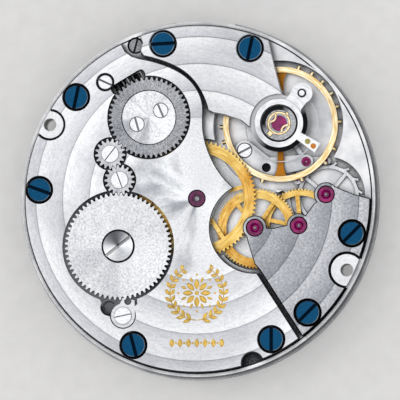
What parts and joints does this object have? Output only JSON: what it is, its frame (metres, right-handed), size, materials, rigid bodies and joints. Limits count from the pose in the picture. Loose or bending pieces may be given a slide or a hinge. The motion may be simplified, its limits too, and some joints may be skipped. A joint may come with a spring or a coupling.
{
  "type": "mechanical watch movement",
  "caption": "Round hand-wound watch movement with striped bridges, open winding wheels, jewelled train, lever escapement and a screwed balance under a cock.",
  "frame": {"origin": "on the centre arbor's axis in the plane of the dial seat", "axes": "+Z to the bridge side, +Y to the notch in the flange, +X to the balance side"},
  "size_m": [0.0268, 0.0267, 0.0039],
  "materials": {
    "plate_metal": "satin",
    "striped_metal": "satin",
    "blued_steel": "polished",
    "polished_steel": "polished",
    "satin_steel": "satin",
    "gilt_brass": "satin",
    "gilt_balance": "polished",
    "ruby": "polished",
    "spring_steel": "satin"
  },
  "bodies": {
    "frame": {"main_plate": "plate_metal", "barrel_bridge": "striped_metal", "train_bridge": "striped_metal", "balance_cock": "striped_metal", "pallet_bridge": "striped_metal", "bridge_screws": "blued_steel", "small_steel_screws": "polished_steel", "shoulder_screws": "polished_steel", "crown_wheel_core": "polished_steel", "click_spring": "spring_steel", "keyless_cover": "satin_steel", "yoke_spring": "spring_steel", "train_jewels_upper": "ruby", "train_jewels_lower": "ruby", "pallet_jewels": "ruby", "barrel_jewels": "ruby", "balance_jewels": "ruby", "shock_blocks": "gilt_brass", "shock_springs": "gilt_brass"},
    "ratchet": {"ratchet_wheel": "satin_steel", "ratchet_screw": "polished_steel", "barrel_arbor": "satin_steel"},
    "barrel": {"barrel_drum": "gilt_brass", "barrel_cover": "gilt_brass", "mainspring": "spring_steel"},
    "crown": {"crown_wheel": "satin_steel"},
    "intermediate_1": {"intermediate_wheel_1": "satin_steel"},
    "intermediate_2": {"intermediate_wheel_2": "satin_steel"},
    "click": {"click": "polished_steel"},
    "winding_pinion": {"winding_pinion": "satin_steel"},
    "sliding_pinion": {"sliding_pinion": "satin_steel"},
    "stem": {"winding_stem": "satin_steel"},
    "setting_lever": {"setting_lever": "satin_steel"},
    "yoke": {"yoke": "satin_steel"},
    "setting_wheel": {"setting_wheel": "satin_steel"},
    "minute_wheel": {"minute_wheel": "gilt_brass"},
    "hour_wheel": {"hour_wheel": "gilt_brass"},
    "cannon_pinion": {"cannon_pinion": "satin_steel"},
    "centre": {"centre_wheel": "gilt_brass", "centre_pinion": "satin_steel"},
    "third": {"third_wheel": "gilt_brass", "third_pinion": "satin_steel"},
    "fourth": {"fourth_wheel": "gilt_brass", "fourth_pinion": "satin_steel"},
    "escape": {"escape_wheel": "polished_steel", "escape_pinion": "satin_steel"},
    "pallets": {"pallet_fork": "polished_steel", "pallet_stones": "ruby", "pallet_arbor": "satin_steel"},
    "balance": {"balance_wheel": "gilt_balance", "timing_screws": "gilt_balance", "balance_staff": "satin_steel", "roller": "satin_steel", "impulse_jewel": "ruby", "collet": "gilt_brass"},
    "stud_carrier": {"stud_carrier": "polished_steel", "stud": "polished_steel", "hairspring": "spring_steel"},
    "index": {"regulator_index": "polished_steel", "curb_pins": "gilt_brass"}
  },
  "joints": [
    {"name": "escape_wheel_turn", "type": "hinge", "parent": "frame", "child": "escape", "pos_m": [0.0096, 0.00024, 0.00051], "axis": [0, 0, 1], "continuous": true},
    {"name": "fourth_wheel_turn", "type": "hinge", "parent": "frame", "child": "fourth", "pos_m": [0.00757, -0.00204, 0.00091], "axis": [0, 0, 1], "continuous": true},
    {"name": "third_wheel_turn", "type": "hinge", "parent": "frame", "child": "third", "pos_m": [0.00431, -0.00219, 0.00118], "axis": [0, 0, 1], "continuous": true},
    {"name": "centre_wheel_turn", "type": "hinge", "parent": "frame", "child": "centre", "pos_m": [0, 0, 0.00151], "axis": [0, 0, 1], "continuous": true},
    {"name": "barrel_turn", "type": "hinge", "parent": "frame", "child": "barrel", "pos_m": [-0.00587, -0.00349, 0.0009], "axis": [0, 0, 1], "continuous": true},
    {"name": "cannon_pinion_turn", "type": "hinge", "parent": "frame", "child": "cannon_pinion", "pos_m": [0, 0, 0.0002], "axis": [0, 0, 1], "continuous": true},
    {"name": "minute_wheel_turn", "type": "hinge", "parent": "frame", "child": "minute_wheel", "pos_m": [-0.00134, 0.00227, 0.0002], "axis": [0, 0, 1], "continuous": true},
    {"name": "hour_wheel_turn", "type": "hinge", "parent": "frame", "child": "hour_wheel", "pos_m": [0, 0, 0.0001], "axis": [0, 0, 1], "continuous": true},
    {"name": "setting_wheel_turn", "type": "hinge", "parent": "frame", "child": "setting_wheel", "pos_m": [-0.0029, 0.00493, 0.00025], "axis": [0, 0, 1], "continuous": true},
    {"name": "stem_turn", "type": "hinge", "parent": "frame", "child": "winding_pinion", "pos_m": [-0.00508, 0.00862, 0.00115], "axis": [0.5075, -0.8616, 0], "range_deg": [0, 16588.8]},
    {"name": "crown_wheel_turn", "type": "hinge", "parent": "frame", "child": "crown", "pos_m": [-0.00358, 0.00606, 0.0022], "axis": [0, 0, 1], "range_deg": [0, 5184.5]},
    {"name": "intermediate_1_turn", "type": "hinge", "parent": "frame", "child": "intermediate_1", "pos_m": [-0.00647, 0.00337, 0.0022], "axis": [0, 0, 1], "range_deg": [-14638.6, 0]},
    {"name": "intermediate_2_turn", "type": "hinge", "parent": "frame", "child": "intermediate_2", "pos_m": [-0.00577, 0.00143, 0.0022], "axis": [0, 0, 1], "range_deg": [0, 14638.6]},
    {"name": "ratchet_wheel_turn", "type": "hinge", "parent": "frame", "child": "ratchet", "pos_m": [-0.00587, -0.00349, 0.0022], "axis": [0, 0, -1], "range_deg": [0, 3888.4]},
    {"name": "stem_pull", "type": "slide", "parent": "winding_pinion", "child": "stem", "axis": [-0.5075, 0.8616, 0], "range_m": [0, 0.0009]},
    {"name": "sliding_pinion_slide", "type": "slide", "parent": "winding_pinion", "child": "sliding_pinion", "axis": [-0.5075, 0.8616, 0], "range_m": [-0.00056, 0]},
    {"name": "setting_lever_turn", "type": "hinge", "parent": "frame", "child": "setting_lever", "pos_m": [-0.00466, 0.01148, 0.00025], "axis": [0, 0, 1], "range_deg": [-26.6, 0]},
    {"name": "yoke_turn", "type": "hinge", "parent": "frame", "child": "yoke", "pos_m": [-0.00746, 0.00675, 0.00025], "axis": [0, 0, 1], "range_deg": [-10.7, 0]},
    {"name": "click_turn", "type": "hinge", "parent": "frame", "child": "click", "pos_m": [-0.00551, -0.00865, 0.0022], "axis": [0, 0, 1], "range_deg": [0, 8], "stiffness_Nm_per_rad": 0.00002, "springref_deg": -1.15},
    {"name": "pallet_rock", "type": "hinge", "parent": "frame", "child": "pallets", "pos_m": [0.008, 0.00277, 0.00068], "axis": [0, 0, 1], "range_deg": [-6, 6]},
    {"name": "balance_swing", "type": "hinge", "parent": "frame", "child": "balance", "pos_m": [0.00612, 0.00554, 0.00117], "axis": [0, 0, 1], "range_deg": [-270, 270], "stiffness_Nm_per_rad": 0.0000004},
    {"name": "stud_carrier_turn", "type": "hinge", "parent": "frame", "child": "stud_carrier", "pos_m": [0.00612, 0.00554, 0.0022], "axis": [0, 0, 1], "range_deg": [-10, 10]},
    {"name": "index_turn", "type": "hinge", "parent": "frame", "child": "index", "pos_m": [0.00612, 0.00554, 0.00236], "axis": [0, 0, 1], "range_deg": [-15, 15]}
  ],
  "couplings": [
    {"joint": "fourth_wheel_turn", "follows": "escape_wheel_turn", "ratio": -0.1},
    {"joint": "third_wheel_turn", "follows": "escape_wheel_turn", "ratio": 0.011111},
    {"joint": "centre_wheel_turn", "follows": "escape_wheel_turn", "ratio": -0.0013889},
    {"joint": "barrel_turn", "follows": "escape_wheel_turn", "ratio": 0.00023148},
    {"joint": "cannon_pinion_turn", "follows": "escape_wheel_turn", "ratio": -0.0013889},
    {"joint": "minute_wheel_turn", "follows": "escape_wheel_turn", "ratio": 0.00046296},
    {"joint": "hour_wheel_turn", "follows": "escape_wheel_turn", "ratio": -0.00011574},
    {"joint": "setting_wheel_turn", "follows": "escape_wheel_turn", "ratio": -0.00083333},
    {"joint": "crown_wheel_turn", "follows": "stem_turn", "ratio": 0.3125},
    {"joint": "intermediate_1_turn", "follows": "stem_turn", "ratio": -0.88235},
    {"joint": "intermediate_2_turn", "follows": "stem_turn", "ratio": 0.88235},
    {"joint": "ratchet_wheel_turn", "follows": "stem_turn", "ratio": 0.23438},
    {"joint": "sliding_pinion_slide", "follows": "stem_pull", "ratio": -0.62222},
    {"joint": "setting_lever_turn", "follows": "stem_pull", "rad_per_m": -513.9},
    {"joint": "yoke_turn", "follows": "stem_pull", "rad_per_m": -205.56}
  ]
}
